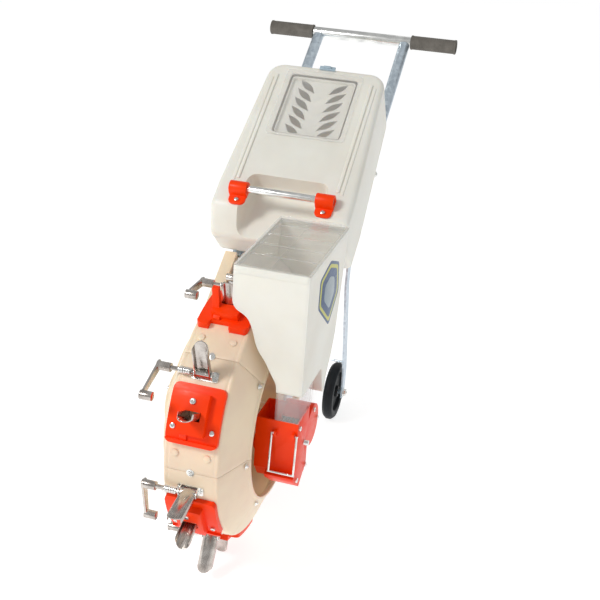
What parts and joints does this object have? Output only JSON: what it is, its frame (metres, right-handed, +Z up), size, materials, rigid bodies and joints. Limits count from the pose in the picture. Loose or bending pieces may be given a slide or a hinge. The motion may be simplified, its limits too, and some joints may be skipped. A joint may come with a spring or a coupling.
{
  "type": "push seeder",
  "caption": "Walk-behind seeder with a spiked planting drum, seed hopper, fertilizer box, sloping tube handle and rear press wheels.",
  "frame": {"origin": "on the ground, under the middle of the seeder's bounding box", "axes": "+Z up, +Y towards the person pushing, +X to the right"},
  "size_m": [0.452, 1.1416, 0.8869],
  "materials": {
    "zinc_tube": "galvanised",
    "bright_steel": "polished",
    "grip_foam": "matt ribbed",
    "ivory_plastic": "moulded, slightly translucent",
    "orange_plastic": "moulded gloss",
    "stainless": "pressed sheet",
    "clear_plastic": "clear moulding",
    "latch_plastic": "moulded",
    "black_plastic": "moulded",
    "wheel_rubber": "moulded rubber"
  },
  "bodies": {
    "frame": {"side_plate_left": "zinc_tube", "side_plate_right": "zinc_tube", "post_left": "zinc_tube", "post_right": "zinc_tube", "crossbar": "bright_steel", "grip_left": "grip_foam", "grip_right": "grip_foam", "frame_brace": "zinc_tube", "fertilizer_box": "ivory_plastic", "strainer": "ivory_plastic", "bar_bracket_left": "orange_plastic", "bar_bracket_right": "orange_plastic", "carrying_bar": "bright_steel", "feed_case": "ivory_plastic", "seed_hopper": "ivory_plastic", "metering_case": "orange_plastic", "seed_chamber": "clear_plastic", "pivot_rod": "bright_steel"},
    "drum": {"axle": "bright_steel", "drum_hub": "ivory_plastic", "drive_gear": "black_plastic", "feed_rotor": "orange_plastic", "drum_segment_1": "ivory_plastic", "drum_segment_2": "ivory_plastic", "drum_segment_3": "ivory_plastic", "drum_segment_4": "ivory_plastic", "drum_segment_5": "ivory_plastic", "drum_segment_6": "ivory_plastic", "drum_segment_7": "ivory_plastic", "mouth_housing_1": "orange_plastic", "mouth_housing_2": "orange_plastic", "mouth_housing_3": "orange_plastic", "mouth_housing_4": "orange_plastic", "mouth_housing_5": "orange_plastic", "mouth_housing_6": "orange_plastic", "mouth_housing_7": "orange_plastic", "beak_1": "stainless", "beak_2": "stainless", "beak_3": "stainless", "beak_4": "stainless", "beak_5": "stainless", "beak_6": "stainless", "beak_7": "stainless"},
    "jaw_1": {"jaw_1": "stainless"},
    "jaw_2": {"jaw_2": "stainless"},
    "jaw_3": {"jaw_3": "stainless"},
    "jaw_4": {"jaw_4": "stainless"},
    "jaw_5": {"jaw_5": "stainless"},
    "jaw_6": {"jaw_6": "stainless"},
    "jaw_7": {"jaw_7": "stainless"},
    "meter": {"meter_shaft": "bright_steel", "meter_wheel": "orange_plastic"},
    "hopper_lid": {"hopper_lid": "clear_plastic"},
    "window_lid": {"window_lid": "clear_plastic"},
    "box_latch": {"box_latch": "latch_plastic"},
    "case_bail": {"case_bail": "bright_steel"},
    "press_arm_left": {"press_arm_left": "zinc_tube"},
    "press_wheel_left": {"press_wheel_left": "wheel_rubber"},
    "press_arm_right": {"press_arm_right": "zinc_tube"},
    "press_wheel_right": {"press_wheel_right": "wheel_rubber"}
  },
  "joints": [
    {"name": "drum_spin", "type": "hinge", "parent": "frame", "child": "drum", "pos_m": [0, -0.26265, 0.29144], "axis": [1, 0, 0], "continuous": true},
    {"name": "jaw_1_swing", "type": "hinge", "parent": "drum", "child": "jaw_1", "pos_m": [0, -0.44033, 0.45426], "axis": [-1, 0, 0], "range_deg": [-50, 5], "stiffness_Nm_per_rad": 0.3},
    {"name": "jaw_2_swing", "type": "hinge", "parent": "drum", "child": "jaw_2", "pos_m": [0, -0.24614, 0.53187], "axis": [-1, 0, 0], "range_deg": [-20, 35], "stiffness_Nm_per_rad": 0.3},
    {"name": "jaw_3_swing", "type": "hinge", "parent": "drum", "child": "jaw_3", "pos_m": [0, -0.06438, 0.42844], "axis": [-1, 0, 0], "range_deg": [-20, 35], "stiffness_Nm_per_rad": 0.3},
    {"name": "jaw_4_swing", "type": "hinge", "parent": "drum", "child": "jaw_4", "pos_m": [0, -0.03192, 0.22184], "axis": [-1, 0, 0], "range_deg": [-20, 35], "stiffness_Nm_per_rad": 0.3},
    {"name": "jaw_5_swing", "type": "hinge", "parent": "drum", "child": "jaw_5", "pos_m": [0, -0.17321, 0.06765], "axis": [-1, 0, 0], "range_deg": [-20, 35], "stiffness_Nm_per_rad": 0.3},
    {"name": "jaw_6_swing", "type": "hinge", "parent": "drum", "child": "jaw_6", "pos_m": [0, -0.38185, 0.08198], "axis": [-1, 0, 0], "range_deg": [-20, 35], "stiffness_Nm_per_rad": 0.3},
    {"name": "jaw_7_swing", "type": "hinge", "parent": "drum", "child": "jaw_7", "pos_m": [0, -0.50073, 0.25404], "axis": [-1, 0, 0], "range_deg": [-20, 35], "stiffness_Nm_per_rad": 0.3},
    {"name": "meter_spin", "type": "hinge", "parent": "frame", "child": "meter", "pos_m": [0, -0.31406, 0.28238], "axis": [1, 0, 0], "continuous": true},
    {"name": "hopper_lid_hinge", "type": "hinge", "parent": "frame", "child": "hopper_lid", "pos_m": [0.0865, -0.10565, 0.63174], "axis": [-1, 0, 0], "range_deg": [0, 95]},
    {"name": "window_lid_hinge", "type": "hinge", "parent": "frame", "child": "window_lid", "pos_m": [0, 0.0892, 0.735], "axis": [1, 0, 0], "range_deg": [0, 110]},
    {"name": "box_latch_slide", "type": "slide", "parent": "frame", "child": "box_latch", "axis": [0, 0.8121, 0.5835], "range_m": [0, 0.006]},
    {"name": "case_bail_swing", "type": "hinge", "parent": "frame", "child": "case_bail", "pos_m": [0.129, -0.37065, 0.32544], "axis": [-1, 0, 0], "range_deg": [0, 100]},
    {"name": "press_arm_left_swing", "type": "hinge", "parent": "frame", "child": "press_arm_left", "pos_m": [-0.09, 0.22688, 0.63837], "axis": [1, 0, 0], "range_deg": [-12, 12]},
    {"name": "press_wheel_left_spin", "type": "hinge", "parent": "press_arm_left", "child": "press_wheel_left", "pos_m": [-0.068, 0.26935, 0.07], "axis": [1, 0, 0], "continuous": true},
    {"name": "press_arm_right_swing", "type": "hinge", "parent": "frame", "child": "press_arm_right", "pos_m": [0.09, 0.22688, 0.63837], "axis": [1, 0, 0], "range_deg": [-12, 12]},
    {"name": "press_wheel_right_spin", "type": "hinge", "parent": "press_arm_right", "child": "press_wheel_right", "pos_m": [0.068, 0.26935, 0.07], "axis": [1, 0, 0], "continuous": true}
  ],
  "couplings": [
    {"joint": "meter_spin", "follows": "drum_spin", "ratio": -1.5}
  ]
}
